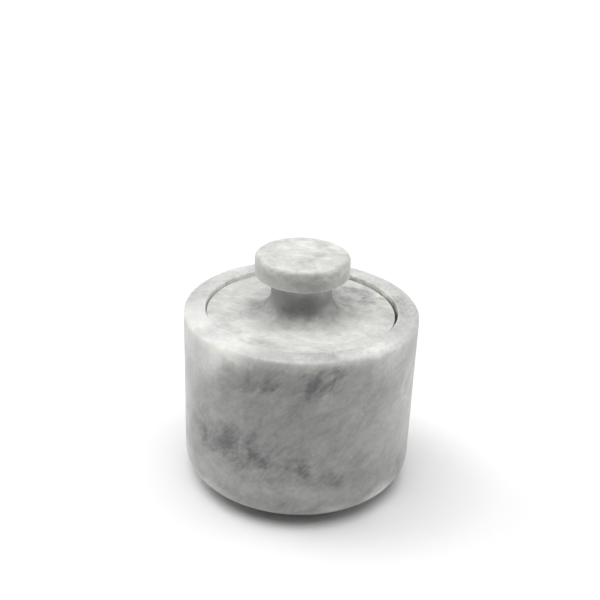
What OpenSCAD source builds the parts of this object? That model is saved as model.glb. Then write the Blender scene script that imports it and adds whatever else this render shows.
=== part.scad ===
// Lidded salt cellar: a stone pot turned on a lathe, a loose stone lid that
// drops into the rim, and a soft pad stuck under the foot.
// Millimetres, +Z up, origin on the table under the middle of the pot.

/* [Pot] */
// Outside diameter of the stone pot
pot_d = 100; // [86:1:120]
// Height of the stone pot, without the pad under it
pot_h = 75.5; // [60:0.5:96]
// Thickness of the wall beside the lid
rim_wall = 9.1; // [7:0.1:12]
// Rounding of the rim's outer edge
rim_round = 2; // [0.8:0.1:3.5]
// Small rounding that breaks the rim's inner edge
rim_break = 0.6; // [0.2:0.1:1.2]
// How far the foot curves in from the side of the pot
foot_inset = 6.5; // [4:0.5:8]
// Height over which the foot curves in
foot_drop = 9; // [8.5:0.5:16]
// Flat that breaks the sharp edge round the underside
foot_break = 0.4; // [0.2:0.1:1]

/* [Bowl] */
// Width of the ledge that carries the lid
ledge_w = 4.5; // [4:0.1:8]
// Rounding of the ledge's inner edge
ledge_round = 0.6; // [0.3:0.1:0.6]
// Rounding in the corner between the ledge and the rim's wall
ledge_fillet = 0.5; // [0.3:0.1:0.6]
// Thickness of the stone under the salt
floor_t = 10; // [6:0.5:16]
// Rounding between the bowl's wall and its floor
bowl_round = 8; // [3:0.5:16]

/* [Lid] */
// Thickness of the lid's disc
lid_t = 8; // [6:0.5:12]
// How far the lid's top lies below the rim
lid_sink = 1.8; // [0.5:0.1:4]
// Running room all round between the lid and the rim's wall
lid_play = 0.7; // [0.6:0.1:1.4]
// Rounding of the lid's upper edge
lid_round = 0.8; // [0.3:0.1:1.5]
// Rounding of the lid's lower edge, which clears the corner of the ledge
lid_under_round = 0.8; // [0.6:0.1:0.9]
// Where the loose lid lies in its room to the left and right, as a share of it
lid_rest_x_share = -0.57; // [-0.6:0.01:0.6]
// Where the loose lid lies in its room to the front and back, as a share of it
lid_rest_y_share = 0.15; // [-0.3:0.01:0.3]

/* [Neck and knob] */
// Diameter of the neck at its waist
neck_d = 26; // [18:0.5:27]
// Height of the neck between the lid and the knob
neck_h = 16.8; // [15:0.1:24]
// Radius of the cove where the neck runs out on to the lid
foot_cove = 8.5; // [5:0.5:10]
// Radius of the smaller cove where the neck meets the knob
knob_cove = 4; // [2:0.5:4.5]
// Diameter of the knob
knob_d = 40; // [39:0.5:52]
// Thickness of the knob
knob_t = 9; // [7:0.5:14]
// Rounding of the knob's upper edge
knob_round = 2; // [0.8:0.1:3.5]
// Rounding of the knob's lower edge
knob_under_round = 1.1; // [0.5:0.1:1.4]

/* [Pad] */
// Thickness of the soft pad
pad_t = 3.8; // [2:0.1:5]
// How far the pad stays in from the edge of the flat underside
pad_margin = 4.5; // [0.2:0.1:8]
// Rounding of the pad's cut edge
pad_round = 0.3; // [0.1:0.1:0.8]
// Thickness of the film of adhesive between pad and stone
film_t = 0.15; // [0.1:0.05:0.4]
// How far the film stays in from the pad's edge
film_margin = 0.6; // [0.2:0.1:3]

/* [Hidden] */
$fn = 128;

// Straight pieces in each quarter of a rounded edge or cove
arc_steps = 10;

// Heights, from the table up
stone_z = pad_t + film_t;
rim_z = stone_z + pot_h;
lid_top_z = rim_z - lid_sink;
ledge_z = lid_top_z - lid_t;
floor_z = stone_z + floor_t;
knob_z = lid_top_z + neck_h;
knob_top_z = knob_z + knob_t;

// Radii, from the outside in
pot_r = pot_d/2;
flat_r = pot_r - foot_inset;
rebate_r = pot_r - rim_wall;
bowl_r = rebate_r - ledge_w;
lid_r = rebate_r - lid_play;
pad_r = flat_r - pad_margin;
film_r = pad_r - film_margin;
knob_r = knob_d/2;
neck_r = neck_d/2;

// The foot is an arc that leaves the side upright and ends on the underside
foot_r = (foot_drop*foot_drop + foot_inset*foot_inset)/(2*foot_inset);

// The lid is free to slide about on its ledge, and lies a little off centre
lid_x = lid_play*lid_rest_x_share;
lid_y = lid_play*lid_rest_y_share;

// Points along an arc about the centre [cx, cz], from angle a to angle b
function arc(cx, cz, r, a, b) =
    [for (i = [0:arc_steps])
        let (t = a + (b - a)*i/arc_steps)
        [cx + r*cos(t), cz + r*sin(t)]];

// Half section of the pot, from the middle of its underside round to the bowl's floor
function pot_outline() = concat(
    [[0, stone_z], [flat_r - foot_break, stone_z]],
    foot_points(),
    arc(pot_r - rim_round, rim_z - rim_round, rim_round, 0, 90),
    arc(rebate_r + rim_break, rim_z - rim_break, rim_break, 90, 180),
    arc(rebate_r - ledge_fillet, ledge_z + ledge_fillet, ledge_fillet, 0, -90),
    arc(bowl_r + ledge_round, ledge_z - ledge_round, ledge_round, 90, 180),
    arc(bowl_r - bowl_round, floor_z + bowl_round, bowl_round, 0, -90),
    [[0, floor_z]]);

// The foot's curve, from the small flat at its lower edge up to the side
function foot_points() =
    let (start = asin((foot_drop - foot_break)/foot_r))
    arc(pot_r - foot_r, stone_z + foot_drop, foot_r, -start, 0);

// Half section of the lid with its neck and knob, from the middle of its underside
function lid_outline() = concat(
    [[0, ledge_z]],
    arc(lid_r - lid_under_round, ledge_z + lid_under_round, lid_under_round, -90, 0),
    arc(lid_r - lid_round, lid_top_z - lid_round, lid_round, 0, 90),
    arc(neck_r + foot_cove, lid_top_z + foot_cove, foot_cove, 270, 180),
    arc(neck_r + knob_cove, knob_z - knob_cove, knob_cove, 180, 90),
    arc(knob_r - knob_under_round, knob_z + knob_under_round, knob_under_round, -90, 0),
    arc(knob_r - knob_round, knob_top_z - knob_round, knob_round, 0, 90),
    [[0, knob_top_z]]);

// Half section of the pad
function pad_outline() = concat(
    [[0, 0]],
    arc(pad_r - pad_round, pad_round, pad_round, -90, 0),
    arc(pad_r - pad_round, pad_t - pad_round, pad_round, 0, 90),
    [[0, pad_t]]);

module pot() {
    color([0.70, 0.70, 0.69])
        rotate_extrude()
            polygon(pot_outline());
}

module lid() {
    color([0.89, 0.89, 0.88])
        translate([lid_x, lid_y, 0])
            rotate_extrude()
                polygon(lid_outline());
}

module base_pad() {
    color([0.22, 0.22, 0.22])
        rotate_extrude()
            polygon(pad_outline());
}

module pad_adhesive() {
    color([0.85, 0.82, 0.70])
        translate([0, 0, pad_t])
            cylinder(h = film_t, r = film_r);
}

pot();
lid();
base_pad();
pad_adhesive();
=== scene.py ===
"""A lidded marble salt cellar: the stones, the pad under the foot and the film that holds it."""

import bpy
import numpy as np
from mathutils import Matrix, Vector


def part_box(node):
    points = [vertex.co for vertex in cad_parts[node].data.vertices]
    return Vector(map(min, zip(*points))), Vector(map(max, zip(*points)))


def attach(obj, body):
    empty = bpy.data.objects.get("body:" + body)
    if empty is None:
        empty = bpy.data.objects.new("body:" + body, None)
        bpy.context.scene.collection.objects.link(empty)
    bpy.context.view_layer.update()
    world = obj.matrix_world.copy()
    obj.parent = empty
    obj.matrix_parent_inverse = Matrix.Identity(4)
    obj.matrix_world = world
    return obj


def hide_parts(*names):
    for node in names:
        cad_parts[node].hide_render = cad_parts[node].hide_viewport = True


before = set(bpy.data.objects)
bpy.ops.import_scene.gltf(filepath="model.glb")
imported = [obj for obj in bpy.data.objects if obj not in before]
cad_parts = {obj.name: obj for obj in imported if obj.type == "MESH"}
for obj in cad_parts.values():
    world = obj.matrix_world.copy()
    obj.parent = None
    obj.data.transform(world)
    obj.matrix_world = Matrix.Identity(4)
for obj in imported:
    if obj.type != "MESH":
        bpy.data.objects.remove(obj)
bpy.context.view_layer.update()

# The pot
# One block of grey and white marble, turned and cored on a lathe and then honed by hand, so that
# it has a satin gloss, soft edges with a few small chips, and the grain shows all the way round.
MM = 0.001
pot_low, pot_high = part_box("pot")
# The round skin stays inside the box of the solid, whose sides are faceted
pot_r = min(pot_high.x, pot_high.y, -pot_low.x, -pot_low.y)
rim_wall = 9.1*MM
rim_round = 2*MM
rim_break = 0.6*MM
lid_sink = 1.8*MM
lid_t = 8*MM
ledge_w = 4.5*MM
ledge_round = 0.6*MM
ledge_fillet = 0.5*MM
floor_t = 10*MM
bowl_round = 8*MM
foot_inset = 6.5*MM
foot_drop = 9*MM
foot_break = 0.4*MM

rebate_r = pot_r - rim_wall
bowl_r = rebate_r - ledge_w
ledge_z = pot_high.z - lid_sink - lid_t
bowl_floor_z = pot_low.z + floor_t
foot_r = (foot_drop**2 + foot_inset**2)/(2*foot_inset)
foot_start = np.degrees(np.arcsin((foot_drop - foot_break)/foot_r))


def arc(radius_at, height, radius, start, end, steps=12):
    """Points on an arc: its centre plus its radius times the cosine and sine of an even run of angles."""
    turn = np.radians(np.linspace(start, end, steps + 1))
    return np.column_stack([radius_at + radius*np.cos(turn), height + radius*np.sin(turn)])


def straight(start, end, steps):
    """Points between start and end, without the ends: half of one minus the cosine of an even
    run of angles crowds them at both ends, so that a flat's shading stays off its rounded edges."""
    share = (1 - np.cos(np.linspace(0, np.pi, steps + 1)[1:-1]))/2
    return np.add(start, share[:, None]*np.subtract(end, start))


def chained(*runs):
    """One outline from arcs, each joined to the next by a straight of as many steps as stands between."""
    points = [runs[0]]
    for steps, run in zip(runs[1::2], runs[2::2]):
        points += [straight(points[-1][-1], run[0], steps), run]
    return np.vstack(points)


def heading(azimuth):
    """The level direction so many degrees to the right of the front: the azimuth's sine to the
    right and its cosine to the front."""
    turn = np.radians(azimuth)
    return np.array([np.sin(turn), -np.cos(turn), 0])


def edge_chips(edge_r, edge_z, out, up, chips, centre=(0, 0)):
    """Chips on a turned edge: each lies at the edge's radius along its heading from the centre,
    and opens outwards by out and upwards by up."""
    return [(np.array([*centre, edge_z]) + edge_r*heading(azimuth),
             out*heading(azimuth) + np.array([0, 0, up]), size, depth)
            for azimuth, size, depth in chips]


def shown(name, data):
    """A new object at the origin that shows a mesh, a lamp or a camera in the scene."""
    made = bpy.data.objects.new(name, data)
    bpy.context.scene.collection.objects.link(made)
    return made


def turned(name, outline, around, centre=(0, 0), chips=()):
    """A closed skin turned from a half outline that starts and ends on its axis.

    A point lies at the outline's distance from the axis times the cosine and sine of its turn,
    and at the outline's height. Each chip, a place on an edge, the side it opens to, its size
    and its depth, sinks points by its depth times exp(-(distance from the place / size) squared).
    """
    turn = 2*np.pi*np.arange(around)/around
    radius, height = outline[1:-1, 0][:, None], outline[1:-1, 1][:, None]
    ring = np.stack([centre[0] + radius*np.cos(turn), centre[1] + radius*np.sin(turn),
                     height + 0*turn], axis=-1).reshape(-1, 3)
    sunk = np.zeros_like(ring)
    for place, side, size, depth in chips:
        away = np.linalg.norm(ring - place, axis=1)
        sunk += depth*np.exp(-(away/size)**2)[:, None]*side/np.linalg.norm(side)
    poles = [[*centre, outline[0, 1]], [*centre, outline[-1, 1]]]
    row = around*np.arange(len(radius) - 1)[:, None]
    here = np.arange(around)
    after = np.roll(here, -1)
    quads = np.stack([row + here, row + after, row + around + after, row + around + here], axis=-1)
    last = around*(len(radius) - 1)
    start_fan = np.stack([after, here, np.full(around, len(ring))], axis=-1)
    end_fan = np.stack([last + here, last + after, np.full(around, len(ring) + 1)], axis=-1)
    mesh = bpy.data.meshes.new(name)
    mesh.from_pydata(np.vstack([ring - sunk, poles]), [],
                     quads.reshape(-1, 4).tolist() + start_fan.tolist() + end_fan.tolist())
    mesh.shade_smooth()
    return shown(name, mesh)


pot_outline = chained(
    np.array([[0, pot_low.z]]), 10,
    np.array([[pot_r - foot_inset - foot_break, pot_low.z]]), 2,
    arc(pot_r - foot_r, pot_low.z + foot_drop, foot_r, -foot_start, 0, 24), 36,
    arc(pot_r - rim_round, pot_high.z - rim_round, rim_round, 0, 90), 10,
    arc(rebate_r + rim_break, pot_high.z - rim_break, rim_break, 90, 180, 8), 10,
    arc(rebate_r - ledge_fillet, ledge_z + ledge_fillet, ledge_fillet, 0, -90, 6), 6,
    arc(bowl_r + ledge_round, ledge_z - ledge_round, ledge_round, 90, 180, 8), 24,
    arc(bowl_r - bowl_round, bowl_floor_z + bowl_round, bowl_round, 0, -90, 16), 10,
    np.array([[0, bowl_floor_z]]))
eased_share = 0.3
rim_ease = eased_share*rim_round
pot_chips = edge_chips(pot_r - rim_ease, pot_high.z - rim_ease, 1, 1, (
    (20, 0.9*MM, 0.30*MM), (50, 0.8*MM, 0.25*MM), (-31, 1.1*MM, 0.22*MM), (104, 1.0*MM, 0.35*MM),
    (171, 0.9*MM, 0.30*MM), (-128, 1.2*MM, 0.35*MM), (-77, 0.8*MM, 0.22*MM)))
pot_chips += edge_chips(rebate_r, pot_high.z, -1, 1, (
    (-8, 0.7*MM, 0.25*MM), (63, 0.8*MM, 0.30*MM), (142, 0.9*MM, 0.35*MM), (-150, 0.7*MM, 0.25*MM)))
pot_chips += edge_chips(pot_r - foot_inset, pot_low.z, 1, -1, (
    (-24, 0.8*MM, 0.30*MM), (12, 0.7*MM, 0.22*MM), (88, 1.0*MM, 0.35*MM), (-140, 1.0*MM, 0.4*MM)))
pot = turned("marble_pot", pot_outline, 440, chips=pot_chips)


def node(tree, kind, inputs=None, **settings):
    """Adds a shader node; inputs gives its sockets numbers, colours or other nodes' outputs."""
    made = tree.nodes.new(kind)
    for name, value in settings.items():
        setattr(made, name, value)
    for key, value in (inputs or {}).items():
        if isinstance(value, bpy.types.NodeSocket):
            tree.links.new(value, made.inputs[key])
        else:
            made.inputs[key].default_value = value
    return made


def maths(tree, operation, *terms):
    """The output of a maths node with that operation on two or three terms."""
    return node(tree, "ShaderNodeMath", dict(enumerate(terms)), operation=operation).outputs[0]


def ramp(tree, value, *stops):
    """The colour that a value has between stops, each a position and a colour."""
    made = node(tree, "ShaderNodeValToRGB", {0: value})
    elements = made.color_ramp.elements
    elements[0].position = stops[0][0]
    elements[1].position = stops[-1][0]
    elements[0].color = (*stops[0][1], 1)
    elements[1].color = (*stops[-1][1], 1)
    for position, colour in stops[1:-1]:
        elements.new(position).color = (*colour, 1)
    return made.outputs[0]


def bare_finish(name):
    """A new material, its node tree and its Principled BSDF."""
    material = bpy.data.materials.new(name)
    material.use_nodes = True
    tree = material.node_tree
    return material, tree, tree.nodes["Principled BSDF"]


def millimetres(tree):
    """The place of a point on the piece, in millimetres."""
    spot = node(tree, "ShaderNodeTexCoord").outputs["Object"]
    return node(tree, "ShaderNodeVectorMath", {0: spot, 3: 1/MM}, operation="SCALE").outputs[0]


def grouped(name, inputs, outputs):
    """An empty node group with those named inputs and outputs, and its input and output nodes."""
    tree = bpy.data.node_groups.new(name, "ShaderNodeTree")
    for socket, kind in inputs.items():
        tree.interface.new_socket(socket, in_out="INPUT", socket_type=kind)
    for socket, kind in outputs.items():
        tree.interface.new_socket(socket, in_out="OUTPUT", socket_type=kind)
    return tree, tree.nodes.new("NodeGroupInput").outputs, tree.nodes.new("NodeGroupOutput").inputs


def placed(tree, group, inputs):
    """Places a node group in a tree with its own values, and gives its outputs."""
    return node(tree, "ShaderNodeGroup", inputs, node_tree=group).outputs


def off_axis(tree, place):
    """A place's distance from the upright axis, and its height."""
    x, y, height = node(tree, "ShaderNodeSeparateXYZ", {0: place}).outputs
    level = node(tree, "ShaderNodeCombineXYZ", {0: x, 1: y}).outputs[0]
    away = node(tree, "ShaderNodeVectorMath", {0: level}, operation="LENGTH").outputs["Value"]
    return away, height


NUMBER = "NodeSocketFloat"
VECTOR = "NodeSocketVector"

# Bedding in the stone: noise drawn out along the bed, as long, deep and thick as Size says
bedding, given, put = grouped(
    "marble bedding",
    {"Place": VECTOR, "Turn": VECTOR, "Size": VECTOR, "Detail": NUMBER, "Break-up": NUMBER},
    {"Shade": NUMBER})
along = node(bedding, "ShaderNodeMapping", {"Vector": given["Place"], "Rotation": given["Turn"],
                                            "Scale": given["Size"]}, vector_type="TEXTURE")
drawn = node(bedding, "ShaderNodeTexNoise", {
    "Vector": along.outputs[0], "Scale": 1.0, "Detail": given["Detail"], "Roughness": 0.6,
    "Distortion": given["Break-up"]})
bedding.links.new(drawn.outputs["Fac"], put["Shade"])

# A soft cloud, used for the stone's tone and for painted light and shade: 1 at its middle and 0
# past its reach, with a soft edge that Fray breaks up
cloud, given, put = grouped(
    "soft cloud",
    {"Place": VECTOR, "Middle": VECTOR, "Turn": VECTOR, "Reach": VECTOR, "Fray": NUMBER},
    {"Cover": NUMBER})
near = node(cloud, "ShaderNodeMapping", {"Vector": given["Place"], "Location": given["Middle"],
                                         "Rotation": given["Turn"], "Scale": given["Reach"]},
            vector_type="TEXTURE")
away = node(cloud, "ShaderNodeVectorMath", {0: near.outputs[0]}, operation="LENGTH")
edge = maths(cloud, "ADD", away.outputs["Value"], given["Fray"])
cover = node(cloud, "ShaderNodeMapRange", {"Value": edge, "From Min": 1.0, "From Max": 0.0},
             interpolation_type="SMOOTHERSTEP")
cloud.links.new(cover.outputs[0], put["Cover"])

# Crystals of calcite: each cell has its own brightness, and here and there one faces the light;
# its glint is a painted highlight in the stone's colour
crystals, given, put = grouped(
    "calcite crystals", {"Place": VECTOR, "Size": NUMBER}, {"Shade": NUMBER, "Glint": NUMBER})
finer = node(crystals, "ShaderNodeVectorMath",
             {0: given["Place"], 3: maths(crystals, "DIVIDE", 1.0, given["Size"])}, operation="SCALE")
cells = node(crystals, "ShaderNodeTexVoronoi", {"Vector": finer.outputs[0], "Scale": 1.0})
bright = node(crystals, "ShaderNodeSeparateColor", {0: cells.outputs["Color"]})
glint = node(crystals, "ShaderNodeMapRange", {"Value": bright.outputs[1], "From Min": 0.95,
                                              "From Max": 1.0})
crystals.links.new(bright.outputs[0], put["Shade"])
crystals.links.new(glint.outputs[0], put["Glint"])

# A ring along a turned edge, for bruising and painted highlights and shade: 1 on the ring of that
# radius and height, 0 past its width
edge_ring, given, put = grouped(
    "edge wear and painted light", {"Place": VECTOR, "Ring radius": NUMBER, "Ring height": NUMBER, "Width": NUMBER},
    {"Wear and painted light": NUMBER})
from_axis, height = off_axis(edge_ring, given["Place"])
gap = node(edge_ring, "ShaderNodeCombineXYZ", {
    0: maths(edge_ring, "SUBTRACT", from_axis, given["Ring radius"]),
    1: maths(edge_ring, "SUBTRACT", height, given["Ring height"])}).outputs[0]
gap = node(edge_ring, "ShaderNodeVectorMath", {0: gap}, operation="LENGTH").outputs["Value"]
on_ring = node(edge_ring, "ShaderNodeMapRange", {"Value": gap, "From Min": given["Width"], "From Max": 0.0},
            interpolation_type="SMOOTHSTEP")
edge_ring.links.new(on_ring.outputs[0], put["Wear and painted light"])

# Turning marks: uneven fine rings that the lathe's tool leaves where the stone isn't honed
lathe, given, put = grouped("turning marks", {"Place": VECTOR}, {"Height": NUMBER})
from_axis, height = off_axis(lathe, given["Place"])
rings = node(lathe, "ShaderNodeTexNoise", {"W": maths(lathe, "ADD", from_axis, height),
                                           "Scale": 0.7, "Detail": 2.0}, noise_dimensions="1D")
lathe.links.new(rings.outputs["Fac"], put["Height"])


def marble(name, bed_turn, base, mottle, streaks, clouds, calm, edge_wear_and_light, tooled, shades,
           axis=(0, 0)):
    """A honed marble, as light as its base plus broad beds, clouds and edge marks.

    A cloud is its middle, turn and reach, and how far it lightens or, below zero, darkens the
    stone; some clouds are the stone's own tone, and some are painted light and painted shade. The
    lightness is varied in proportion to itself: by smoke, as strongly as mottle says, by crystals,
    some of them lightened as painted glints, and in the dark clouds by strokes, as strongly as
    streaks says. The smoke also frays the clouds, most the dark ones, and breaks up the edge marks.
    Where the calm clouds are, as strongly as they say, the stone is even and nothing is frayed.
    Edge marks are bruising, painted highlights and painted shade along turned edges; each is its
    ring's radius and height, its width and its strength. Tooled clouds, as strongly as they say,
    show turning marks. Shades are the colours of a few lightnesses. Clouds are in millimetres, and
    their turns and bed_turn in degrees. Edge marks and turning marks run round the upright line
    through axis.
    """
    bed_swing = 0.2
    fray_reach = 1.2
    light_fray_share = 0.4
    least_gloom = 0.05
    crystal_swing = 0.10
    glint_swing = 0.04
    material, tree, stone = bare_finish(name)
    place = millimetres(tree)
    turn = np.radians(bed_turn)

    def cover(where, middle, cloud_turn, reach, fray):
        """How far one cloud covers a place, from 0 to 1."""
        return placed(tree, cloud, {"Place": where, "Middle": middle, "Turn": np.radians(cloud_turn),
                                    "Reach": reach, "Fray": fray})["Cover"]

    # Two swirls bend the broad beds and the clouds
    bent = place
    for scale, reach in ((0.09, 8.0), (0.4, 3.0)):
        swirl = node(tree, "ShaderNodeTexNoise", {"Vector": place, "Scale": scale, "Detail": 2.0})
        shift = node(tree, "ShaderNodeVectorMath", {0: swirl.outputs["Color"], 1: (0.5, 0.5, 0.5)},
                     operation="SUBTRACT")
        bent = node(tree, "ShaderNodeVectorMath", {0: shift.outputs[0], 1: (reach,)*3, 2: bent},
                    operation="MULTIPLY_ADD").outputs[0]
    broad = placed(tree, bedding, {"Place": bent, "Turn": turn, "Size": (40, 30, 18),
                                   "Detail": 2.0, "Break-up": 0.4})["Shade"]
    smoke = placed(tree, bedding, {"Place": place, "Turn": turn, "Size": (8, 6, 4.5),
                                   "Detail": 5.0, "Break-up": 0.5})["Shade"]
    strokes = placed(tree, bedding, {"Place": place, "Turn": turn, "Size": (3.2, 2.0, 1.0),
                                     "Detail": 2.0, "Break-up": 0.2})["Shade"]
    cells = placed(tree, crystals, {"Place": place, "Size": 1.4})

    # Steady is 1 less what the calm clouds take away
    steady = 1.0
    for middle, cloud_turn, reach, strength in calm:
        steady = maths(tree, "MULTIPLY_ADD", cover(bent, middle, cloud_turn, reach, 0.0),
                       -strength, steady)

    # The beds and the clouds give the lightness, and the dark clouds together the gloom
    tone = maths(tree, "MULTIPLY_ADD", maths(tree, "SUBTRACT", broad, 0.5), bed_swing, base)
    fray = maths(tree, "MULTIPLY_ADD", smoke, fray_reach, -fray_reach/2)
    fray = maths(tree, "MULTIPLY", fray, steady)
    light_fray = maths(tree, "MULTIPLY", fray, light_fray_share)
    gloom = least_gloom*mottle
    for middle, cloud_turn, reach, strength in clouds:
        part = cover(bent, middle, cloud_turn, reach, fray if strength < 0 else light_fray)
        tone = maths(tree, "MULTIPLY_ADD", part, strength, tone)
        if strength < 0:
            gloom = maths(tree, "MULTIPLY_ADD", part, -strength, gloom)

    # Smoke, strokes and crystals vary the lightness in proportion to itself
    uneven = maths(tree, "MULTIPLY", maths(tree, "SUBTRACT", smoke, 0.5), mottle)
    uneven = maths(tree, "MULTIPLY_ADD", maths(tree, "SUBTRACT", strokes, 0.5),
                   maths(tree, "MULTIPLY", gloom, streaks), uneven)
    uneven = maths(tree, "MULTIPLY_ADD", maths(tree, "SUBTRACT", cells["Shade"], 0.5),
                   crystal_swing, uneven)
    uneven = maths(tree, "MULTIPLY", uneven, steady)
    tone = maths(tree, "MULTIPLY_ADD", tone, uneven, tone)
    # Painted glints: the crystals that face the light are lightened
    tone = maths(tree, "MULTIPLY_ADD", cells["Glint"], glint_swing, tone)

    # The edge marks, bruising and painted highlights and shade, are patchy, because the smoke breaks them
    # up
    centred = node(tree, "ShaderNodeVectorMath", {0: place, 1: (*np.divide(axis, MM), 0)},
                   operation="SUBTRACT").outputs[0]
    patches = node(tree, "ShaderNodeMapRange", {"Value": smoke, "From Min": 0.36, "From Max": 0.5})
    for ring_r, ring_z, width, strength in edge_wear_and_light:
        part = placed(tree, edge_ring, {"Place": centred, "Ring radius": ring_r/MM,
                                     "Ring height": ring_z/MM, "Width": width/MM})
        patchy = maths(tree, "MULTIPLY", part["Wear and painted light"], patches.outputs[0])
        tone = maths(tree, "MULTIPLY_ADD", patchy, strength, tone)

    # The crystals stand a little proud of each other, and the tool left its rings where it wasn't honed
    relief = cells["Shade"]
    marks = placed(tree, lathe, {"Place": centred})["Height"]
    for middle, cloud_turn, reach, strength in tooled:
        marked = maths(tree, "MULTIPLY", cover(place, middle, cloud_turn, reach, 0.0), marks)
        relief = maths(tree, "MULTIPLY_ADD", marked, strength, relief)
    bumps = node(tree, "ShaderNodeBump", {"Height": relief, "Strength": 0.4, "Distance": 0.006*MM})

    tree.links.new(ramp(tree, tone, *shades), stone.inputs["Base Color"])
    rough = node(tree, "ShaderNodeMapRange", {"Value": cells["Shade"], "To Min": 0.36, "To Max": 0.46})
    tree.links.new(rough.outputs[0], stone.inputs["Roughness"])
    tree.links.new(bumps.outputs[0], stone.inputs["Normal"])
    stone.inputs["Subsurface Weight"].default_value = 0.8
    stone.inputs["Subsurface Radius"].default_value = (1.0, 0.85, 0.65)
    stone.inputs["Subsurface Scale"].default_value = 3.5*MM
    return material


# Clouds in a turned side have their middles this far from the axis, unless they say otherwise
pot_side = 50


def side_cloud(azimuth, height, slope, length, width, strength, radius=pot_side):
    """A cloud on a turned side, so many degrees to the right of the front, whose length rises
    by slope to the right; its depth into the stone is halfway between its length and width."""
    middle = radius*heading(azimuth) + np.array([0, 0, height])
    return middle, (0, -slope, azimuth), (length, (length + width)/2, width), strength


def top_cloud(x, y, height, slope, length, width, strength):
    """A cloud in a level face, whose length turns by slope from the right towards the back."""
    return (x, y, height), (0, 0, slope), (length, width, (length + width)/2), strength


# Clouds in the level rim have their middles at this height
rim_level = 80
pot_clouds = (
    # The rim and the top of the wall, lightened all round as painted light falling from above, then
    # paler patches at the rim's front
    ((0, 0, 82.5), (0, 0, 0), (400, 400, 9), 0.28),
    side_cloud(-44, 75, 45, 34, 17, 0.28),
    side_cloud(-66, 72, 60, 20, 12, 0.16),
    side_cloud(-36, 74, 10, 18, 6, 0.15),
    # Painted shade on the rim's rounded outer edge at the front left, dimming its highlight
    side_cloud(-46, 79.4, 0, 30, 2.6, -0.06, 49.3),
    side_cloud(-32, 76.4, 0, 32, 3.6, 0.14, 49.6),
    side_cloud(6, 77, 0, 18, 3, 0.07, 49.8),
    side_cloud(-60, 58, 60, 14, 8, 0.05),
    side_cloud(60, 74, 0, 14, 7, 0.06),
    # Pale stone at both sides
    side_cloud(-82, 46, 90, 50, 27, 0.19),
    side_cloud(42, 77, -45, 24, 12, 0.20),
    side_cloud(70, 48, 90, 48, 34, 0.14),
    side_cloud(44, 31, 20, 18, 12, 0.05),
    # Pale stone and thin pale veins low down
    side_cloud(48, 8, -10, 17, 9, 0.36, 47),
    side_cloud(21, 8, 0, 10, 6, 0.10, 48),
    ((0, -50, 17.5), (0, 0, 0), (70, 40, 6), 0.05),
    side_cloud(-50, 8, 0, 34, 8, 0.14, 47),
    side_cloud(12, 18, -15, 14, 5, 0.06),
    side_cloud(-70, 15, 0, 16, 8, 0.08),
    side_cloud(-36, 21, 3, 24, 2.4, 0.05),
    side_cloud(-6, 21.5, -6, 18, 2.0, 0.05),
    side_cloud(31, 14.5, -28, 14, 1.8, 0.05),
    # The large dark patch left of the middle, and its tail to the right
    side_cloud(-32, 39, 60, 12, 9, -0.12),
    side_cloud(-22, 41, 60, 9, 6, -0.09),
    side_cloud(-40, 36, 30, 12, 9, -0.05),
    side_cloud(-19, 35, -35, 8, 5, -0.10),
    side_cloud(-51, 32, 60, 9, 5, -0.05),
    side_cloud(-14, 33, 0, 28, 9, -0.10),
    side_cloud(-58, 35, 0, 12, 8, -0.05),
    side_cloud(3, 31, 60, 8, 6, -0.09),
    side_cloud(-6, 31, 60, 6, 4, -0.04),
    side_cloud(15, 26.5, -30, 10, 5, -0.08),
    # The dark patch under the front of the rim
    side_cloud(0, 70, 0, 26, 9, -0.04),
    side_cloud(11, 70, 38, 15, 7, -0.10),
    side_cloud(5, 67, 38, 8, 5, -0.06),
    side_cloud(-15, 67, 40, 8, 6, -0.10),
    side_cloud(-24, 68, 40, 10, 7, -0.03),
    # Smaller dark and pale patches all over the front
    side_cloud(65, 18, 0, 12, 9, -0.10),
    side_cloud(4, 9.5, 0, 13, 5, -0.05),
    side_cloud(-35, 14, 60, 5, 3, -0.05),
    side_cloud(-50, 41, 0, 16, 9, -0.05),
    side_cloud(2, 63, 30, 18, 7, -0.04),
    side_cloud(-9, 25, 0, 18, 5, -0.04),
    side_cloud(-45, 29.5, 0, 14, 4, -0.05),
    side_cloud(0, 29.5, 0, 12, 4, -0.05),
    side_cloud(0, 44, 0, 15, 6, 0.05),
    side_cloud(-76, 16, 0, 15, 10, 0.08),
    side_cloud(-55, 15, 0, 12, 7, 0.05),
    side_cloud(-18, 17, 0, 16, 7, 0.05),
    side_cloud(-56, 76, 0, 14, 6, 0.06),
    side_cloud(54, 76, 0, 16, 7, 0.06),
    side_cloud(-34, 7, 0, 12, 5, -0.06, 48),
    side_cloud(22, 9, 0, 14, 8, 0.05, 48),
    # The back
    side_cloud(150, 52, 50, 26, 10, -0.12),
    side_cloud(-140, 32, 40, 32, 12, -0.10),
    side_cloud(172, 66, 40, 30, 12, 0.12),
    side_cloud(-118, 66, 30, 22, 9, -0.08),
    side_cloud(118, 28, -40, 26, 10, -0.10),
    # The level top of the rim
    top_cloud(-42, -10, rim_level, 75, 32, 16, 0.13),
    top_cloud(44, 6, rim_level, 85, 26, 14, -0.10),
    top_cloud(14, -43, rim_level, 0, 12, 8, -0.04),
    top_cloud(0, 45, rim_level, 0, 14, 9, 0.07),
    top_cloud(33, 32, rim_level, -45, 12, 8, 0.09),
    top_cloud(-33, 33, rim_level, 45, 14, 8, 0.07),
    top_cloud(-43, 12, rim_level, 75, 12, 8, 0.09),
    top_cloud(-41, -18, rim_level, 65, 14, 8, 0.08),
)
pot_calm = (((-44, -8, 78), (0, 0, 0), (22, 36, 12), 0.7),
            ((-27, -39, 77), (0, 0, 0), (28, 22, 13), 0.8))
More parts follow.
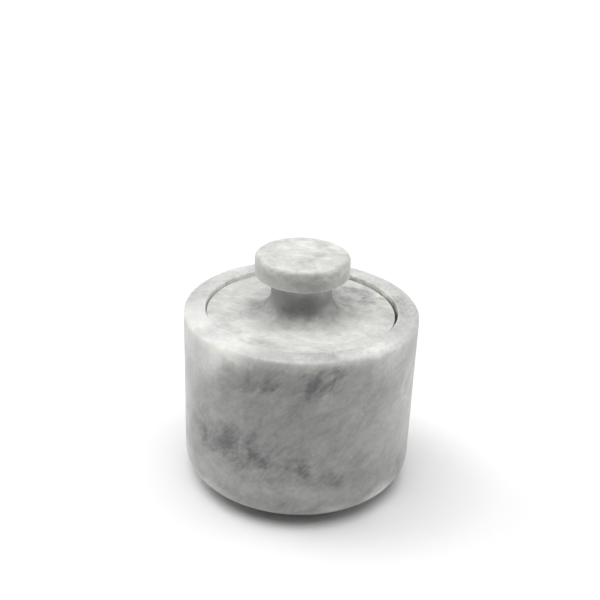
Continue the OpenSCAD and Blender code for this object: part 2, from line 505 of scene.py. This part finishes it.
# Edge marks: the rim's outer rounding darkened, painted shade that dims its highlight; the rim's
# inner edge whitened, partly bruising and partly a painted highlight; the rebate's wall under the
# painted highlight
# rim lightened, painted light where the joint lies in shade; the foot's lower edge lightened, a
pot_edge_wear_and_light = ((pot_r - 0.9*MM, pot_high.z - 0.35*MM, 1.8*MM, -0.05),
             (rebate_r + 0.2*MM, pot_high.z - 0.15*MM, 0.8*MM, 0.04),
             (rebate_r - 0.7*MM, pot_high.z - 2.05*MM, 2.4*MM, 0.45),
             (pot_r - foot_inset + 0.1*MM, pot_low.z + 0.15*MM, 1.1*MM, 0.35))
pot_shades = ((0.15, (0.15, 0.152, 0.152)), (0.45, (0.449, 0.45, 0.436)),
              (0.6, (0.597, 0.60, 0.591)), (0.85, (0.845, 0.85, 0.82)), (1.0, (0.95, 0.95, 0.93)))
pot_tooled = (((0, 0, 36), (0, 0, 0), (51, 51, 48), 50),)
pot_stone = marble("pot marble", bed_turn=(0, -48, 0), base=0.35, mottle=0.85, streaks=7.0,
                   clouds=pot_clouds, calm=pot_calm, edge_wear_and_light=pot_edge_wear_and_light, tooled=pot_tooled,
                   shades=pot_shades)
pot.data.materials.append(pot_stone)
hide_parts("pot")
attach(pot, "pot")

# The lid
# Disc, neck and knob are one turned piece of the same marble, dropped loose into the rim. The
# lathe left the cove at the neck's foot; the knob's edges were eased by hand for the fingers.
lid_low, lid_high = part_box("lid")
lid_r = (lid_high.x - lid_low.x)/2
lid_middle = ((lid_low.x + lid_high.x)/2, (lid_low.y + lid_high.y)/2)
lid_round = 0.8*MM
lid_under_round = 0.8*MM
neck_r = 13*MM
neck_h = 16.8*MM
foot_cove = 8.5*MM
knob_cove = 4*MM
knob_r = 20*MM
knob_round = 2*MM
knob_under_round = 1.1*MM
lid_top_z = lid_low.z + lid_t
knob_z = lid_top_z + neck_h

lid_outline = chained(
    np.array([[0, lid_low.z]]), 14,
    arc(lid_r - lid_under_round, lid_low.z + lid_under_round, lid_under_round, -90, 0, 8), 8,
    arc(lid_r - lid_round, lid_top_z - lid_round, lid_round, 0, 90, 8), 12,
    arc(neck_r + foot_cove, lid_top_z + foot_cove, foot_cove, 270, 180, 24), 6,
    arc(neck_r + knob_cove, knob_z - knob_cove, knob_cove, 180, 90, 16), 4,
    arc(knob_r - knob_under_round, knob_z + knob_under_round, knob_under_round, -90, 0, 8), 16,
    arc(knob_r - knob_round, lid_high.z - knob_round, knob_round, 0, 90), 12,
    np.array([[0, lid_high.z]]))
pit_z = lid_high.z - 1.1*MM
knob_ease = eased_share*knob_round
lid_chips = edge_chips(knob_r, pit_z, 1, 0, ((-65, 0.45*MM, 0.3*MM),), lid_middle)
lid_chips += edge_chips(lid_r, lid_top_z, 1, 1, (
    (-52, 0.8*MM, 0.25*MM), (30, 0.7*MM, 0.25*MM), (118, 0.9*MM, 0.3*MM)), lid_middle)
lid_chips += edge_chips(knob_r - knob_ease, lid_high.z - knob_ease, 1, 1, (
    (-22, 0.7*MM, 0.18*MM), (150, 0.8*MM, 0.25*MM)), lid_middle)
lid = turned("marble_lid", lid_outline, 400, lid_middle, lid_chips)
# Clouds in the disc's top, in the knob's top and in the knob's side have their middles here
lid_level = 77.6
knob_level = 103
knob_side = 19.5
lid_clouds = (
    # Pale stone in front of the neck and at both sides of it; in front of the neck it is also
    # painted light, lightening the knob's shadow there
    top_cloud(7, -22, lid_level, 0, 36, 20, 0.20),
    top_cloud(20, -11, lid_level, 20, 15, 9, 0.14),
    top_cloud(4, -17, lid_level, 10, 14, 8, 0.08),
    top_cloud(-27, -20, lid_level, -40, 14, 10, 0.10),
    top_cloud(30, -14, lid_level, 40, 18, 12, 0.12),
    # Dark stone beside the neck and behind it; behind the neck it is also painted shade, the knob's
    # shadow
    top_cloud(-14, 3, lid_level, 25, 16, 10, -0.18),
    top_cloud(13, 0, lid_level, 60, 9, 7, -0.12),
    top_cloud(13, 18, lid_level, -20, 28, 15, -0.25),
    top_cloud(28, 16, lid_level, -50, 14, 9, -0.08),
    top_cloud(-19, -3, lid_level, 60, 16, 8, -0.06),
    top_cloud(0, 23, lid_level, 0, 20, 12, -0.06),
    top_cloud(4, 34, lid_level, 0, 20, 8, -0.04),
    top_cloud(-14, -30, lid_level, -10, 9, 4, -0.08),
    # The dark neck: painted shade, the deep shade under the knob laid over the neck, its cove and the
    # disc in front of it, with one paler spot
    ((0, 0, 87.5), (0, 0, 0), (40, 40, 11), -0.36),
    ((1, -15, 83), (0, 0, 0), (17, 13, 8.5), -0.20),
    ((0, 0, 81), (0, 0, 0), (40, 40, 4.2), -0.16),
    ((-9, -10, 87), (0, 0, 0), (10, 10, 5), 0.08),
    # The side of the knob
    ((0, 0, 97.5), (0, 0, 0), (80, 80, 6.5), -0.09),
    side_cloud(28, 95.5, 0, 16, 5, -0.08, knob_side),
    # Painted shade on the knob's rounded top edge at the front left, dimming its highlight
    side_cloud(-45, 102.6, 0, 20, 2.5, -0.06, knob_side),
    # Smaller patches near the lid's edge
    # The first, behind the neck, is also painted shade, the knob's shadow
    top_cloud(3, 20, lid_level, 10, 14, 8, -0.10),
    top_cloud(30, 3, lid_level, 80, 14, 9, 0.09),
    top_cloud(-21, -28, lid_level, -30, 9, 6, 0.10),
    top_cloud(33, 9, lid_level, 70, 14, 8, -0.08),
    # The front and the top of the knob
    side_cloud(10, 97.0, 0, 14, 7, -0.10, knob_side),
    ((0, 0, 105.5), (0, 0, 0), (80, 80, 5), 0.11),
    top_cloud(-1, 12, knob_level, 0, 14, 7, 0.06),
    top_cloud(10, 3, knob_level, 40, 9, 6, -0.05),
    top_cloud(-4, 4, knob_level, -28, 7, 3, -0.07),
)
lid_calm = (((0, 0, 86), (0, 0, 0), (50, 50, 18), 1.05), ((0, 0, 98), (0, 0, 0), (60, 60, 7), 0.5))
# Edge marks: the disc's top edge lightened, a painted highlight where it meets the shaded joint;
# lightened, a painted highlight
# the knob's upper rounding darkened, painted shade that dims its highlight; the knob's lower edge
lid_edge_wear_and_light = ((lid_r - 0.3*MM, lid_top_z - 0.25*MM, 0.8*MM, 0.12),
             (knob_r - 0.6*MM, lid_high.z - 0.85*MM, 1.8*MM, -0.12),
             (knob_r - 0.3*MM, knob_z + 0.35*MM, 0.8*MM, 0.04))
lid_shades = ((0.15, (0.15, 0.152, 0.152)), (0.4, (0.398, 0.40, 0.388)),
              (0.6, (0.596, 0.60, 0.572)), (0.85, (0.841, 0.85, 0.81)), (1.0, (0.95, 0.95, 0.93)))
lid_tooled = (((0, 0, 66), (0, 0, 0), (120, 120, 6), 60),)
lid_stone = marble("lid marble", bed_turn=(0, 8, -14), base=0.58, mottle=1.1, streaks=4.0,
                   clouds=lid_clouds, calm=lid_calm, edge_wear_and_light=lid_edge_wear_and_light, tooled=lid_tooled,
                   shades=lid_shades, axis=lid_middle)
lid.data.materials.append(lid_stone)
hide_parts("lid")
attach(lid, "lid")

# The pad
# A disc punched from a sheet of black foam rubber, whose small closed cells show on its faces and
# on the cut edge. It is stuck under the foot and keeps the stone from slipping and scratching.
pad_low, pad_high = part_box("base_pad")
pad_r = pad_high.x
pad_round = 0.3*MM

pad_outline = chained(
    np.array([[0, pad_low.z]]), 12,
    arc(pad_r - pad_round, pad_low.z + pad_round, pad_round, -90, 0, 6), 6,
    arc(pad_r - pad_round, pad_high.z - pad_round, pad_round, 0, 90, 6), 12,
    np.array([[0, pad_high.z]]))
pad = turned("foam_pad", pad_outline, 360)

foam, tree, rubber = bare_finish("black foam rubber")
place = millimetres(tree)
pores = node(tree, "ShaderNodeTexVoronoi", {"Vector": place, "Scale": 2.2})
dust = node(tree, "ShaderNodeTexNoise", {"Vector": place, "Scale": 0.25, "Detail": 5.0})
shade = ramp(tree, dust.outputs["Fac"], (0.35, (0.02, 0.02, 0.021)), (0.8, (0.06, 0.06, 0.06)))
relief = node(tree, "ShaderNodeBump", {"Height": pores.outputs["Distance"], "Strength": 0.5,
                                       "Distance": 0.15*MM})
tree.links.new(shade, rubber.inputs["Base Color"])
tree.links.new(relief.outputs[0], rubber.inputs["Normal"])
rubber.inputs["Roughness"].default_value = 0.85
pad.data.materials.append(foam)
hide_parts("base_pad")
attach(pad, "pot")

# The adhesive
# A film of clear yellowish glue, rolled on to the pad from its backing paper before the pad was
# pressed against the stone. It lies out of sight between the two.
glue, tree, film = bare_finish("transfer adhesive")
smears = node(tree, "ShaderNodeTexNoise", {"Vector": millimetres(tree), "Scale": 0.3, "Detail": 4.0})
shade = ramp(tree, smears.outputs["Fac"], (0.3, (0.55, 0.49, 0.34)), (0.7, (0.68, 0.64, 0.50)))
tree.links.new(shade, film.inputs["Base Color"])
film.inputs["Roughness"].default_value = 0.3
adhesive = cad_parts["pad_adhesive"]
adhesive.data.materials.clear()
adhesive.data.materials.append(glue)

# The table and the light
# The pot stands on a plain white board. Soft light falls on it from above, from high on the left
# and, low down and from a little behind, from both sides. All round it is white.
table_reach = 4.0
table_mesh = bpy.data.meshes.new("white_table")
table_mesh.from_pydata([(-table_reach, -table_reach, 0), (table_reach, -table_reach, 0),
                        (table_reach, table_reach, 0), (-table_reach, table_reach, 0)],
                       [], [(0, 1, 2, 3)])
table = shown("white_table", table_mesh)
white, tree, board = bare_finish("white table")
board.inputs["Base Color"].default_value = (0.97, 0.97, 0.97, 1)
board.inputs["Roughness"].default_value = 0.9
board.inputs["Specular IOR Level"].default_value = 0.1
table_mesh.materials.append(white)

# Each lamp's direction, anticlockwise from the right, its height and its spread are in degrees,
# and its level is how bright a white face turned to it looks
for name, azimuth, height, level, spread in (
        ("top", 270, 88, 0.85, 62),
        ("left", 162, 50, 0.23, 40),
        ("right", 8, 3, 0.42, 50),
        ("back left", 160, 3, 0.32, 50)):
    lamp = bpy.data.lights.new(name, "SUN")
    lamp.energy = level*np.pi
    lamp.angle = np.radians(spread)
    lit = shown(name, lamp)
    turn, rise = np.radians(azimuth), np.radians(height)
    towards = Vector((np.cos(rise)*np.cos(turn), np.cos(rise)*np.sin(turn), np.sin(rise)))
    lit.rotation_euler = towards.to_track_quat("Z", "Y").to_euler()

sky = bpy.data.worlds.new("white surround")
bpy.context.scene.world = sky
sky.use_nodes = True
tree = sky.node_tree
rays = node(tree, "ShaderNodeLightPath").outputs
seen = maths(tree, "MAXIMUM", rays["Is Camera Ray"],
             maths(tree, "MAXIMUM", rays["Is Glossy Ray"], rays["Is Transmission Ray"]))
tree.links.new(seen, tree.nodes["Background"].inputs["Strength"])
tree.nodes["Background"].inputs["Color"].default_value = (1, 1, 1, 1)

bpy.context.scene.view_settings.view_transform = "Standard"

# The camera
# It stands a forearm's length in front of the pot and looks down at it, tilted by two degrees.
lens = bpy.data.cameras.new("camera")
lens.sensor_width = 36
lens.lens = 57.83
camera = shown("camera", lens)
camera_back = 369.48*MM
camera_up = 258.28*MM
look_down, look_right, tilt = np.radians([25.469, -0.127, 2.326])
aim = (Matrix.Rotation(np.pi/2 - look_down, 4, "X") @ Matrix.Rotation(-look_right, 4, "Y")
       @ Matrix.Rotation(tilt, 4, "Z"))
camera.matrix_world = Matrix.Translation((0, -camera_back, camera_up)) @ aim
bpy.context.scene.camera = camera
